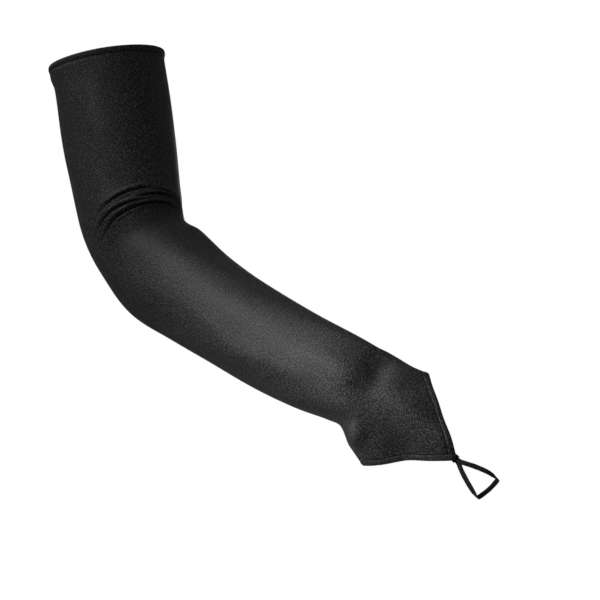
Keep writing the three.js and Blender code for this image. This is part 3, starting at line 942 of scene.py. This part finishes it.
# Studio. A pale floor below, a soft round light on the lower sleeve from above the front left and
# a smaller one on its end, weak broad ones from the left, below, behind and the right, and white
# all round for the camera.
FLOOR_HEIGHT = -0.42
FLOOR_LEFT, FLOOR_RIGHT = -0.25, 0.5
FLOOR_NEAR, FLOOR_FAR = -0.35, 0.28
floor_mesh = bpy.data.meshes.new("studio_floor")
floor_mesh.from_pydata([
    (FLOOR_LEFT, FLOOR_NEAR, FLOOR_HEIGHT), (FLOOR_RIGHT, FLOOR_NEAR, FLOOR_HEIGHT),
    (FLOOR_RIGHT, FLOOR_FAR, FLOOR_HEIGHT), (FLOOR_LEFT, FLOOR_FAR, FLOOR_HEIGHT),
], [], [(0, 1, 2, 3)])
floor = bpy.data.objects.new("studio_floor", floor_mesh)
bpy.context.scene.collection.objects.link(floor)
floor_paint = new_material("pale_floor", Base_Color=(0.82, 0.82, 0.82, 1), Roughness=0.7)[0]
floor.data.materials.append(floor_paint)


def hang(name, lamp, aim, turn, height, distance):
    """Hang a lamp at a turn from the camera's side and a height, in degrees, facing its aim."""
    holder = bpy.data.objects.new(name, lamp)
    turn, height = math.radians(turn), math.radians(height)
    level = math.cos(height)
    way = Vector((math.sin(turn) * level, -math.cos(turn) * level, math.sin(height)))
    holder.location = Vector(aim) + way * distance
    holder.rotation_euler = way.to_track_quat("Z", "Y").to_euler()
    bpy.context.scene.collection.objects.link(holder)


def soft_box(name, aim, turn, height, power):
    """A weak broad light."""
    lamp = bpy.data.lights.new(name, "AREA")
    lamp.shape = "RECTANGLE"
    lamp.size, lamp.size_y = BOX_SIZE
    lamp.energy = power
    hang(name, lamp, aim, turn, height, BOX_DISTANCE)


def soft_spot(name, aim, turn, height, power, cone, softness, distance):
    """A soft round light that reaches only what lies inside its cone."""
    lamp = bpy.data.lights.new(name, "SPOT")
    lamp.energy = power
    lamp.spot_size = math.radians(cone)
    lamp.spot_blend = 1
    lamp.shadow_soft_size = softness
    hang(name, lamp, aim, turn, height, distance)


BOX_SIZE = (0.7, 0.5)
BOX_DISTANCE = 1.2
SLEEVE_MIDDLE = (0.11, -0.06, -0.17)
FOREARM_END = (0.175, -0.105, -0.207)
HAND_MIDDLE = (0.2, -0.12, -0.24)
soft_spot(
    "key_light", FOREARM_END, turn=-39, height=41, power=26, cone=25, softness=0.16, distance=1.1)
soft_spot(
    "hand_light", HAND_MIDDLE, turn=-58, height=12, power=22, cone=15, softness=0.1, distance=0.95)
soft_box("left_light", SLEEVE_MIDDLE, turn=-100, height=50, power=1.9)
soft_box("low_light", SLEEVE_MIDDLE, turn=-50, height=-45, power=1.0)
soft_box("side_light", SLEEVE_MIDDLE, turn=-85, height=0, power=0.45)
soft_box("back_light", SLEEVE_MIDDLE, turn=180, height=0, power=0.8)
soft_box("right_light", SLEEVE_MIDDLE, turn=110, height=10, power=0.1)

FILL_COLOUR = (0.97, 0.98, 1, 1)
FILL_STRENGTH = 0.06
world = bpy.data.worlds.new("studio")
world.use_nodes = True
sky, sky_links = world.node_tree.nodes, world.node_tree.links
seen = sky["Background"]
seen.inputs["Color"].default_value = (1, 1, 1, 1)
seen.inputs["Strength"].default_value = 1
felt = sky.new("ShaderNodeBackground")
felt.inputs["Color"].default_value = FILL_COLOUR
felt.inputs["Strength"].default_value = FILL_STRENGTH
rays = sky.new("ShaderNodeLightPath")
chosen = sky.new("ShaderNodeMixShader")
sky_links.new(rays.outputs["Is Camera Ray"], chosen.inputs["Fac"])
sky_links.new(felt.outputs["Background"], chosen.inputs[1])
sky_links.new(seen.outputs["Background"], chosen.inputs[2])
sky_links.new(chosen.outputs["Shader"], sky["World Output"].inputs["Surface"])
bpy.context.scene.world = world
bpy.context.scene.view_settings.view_transform = "Standard"
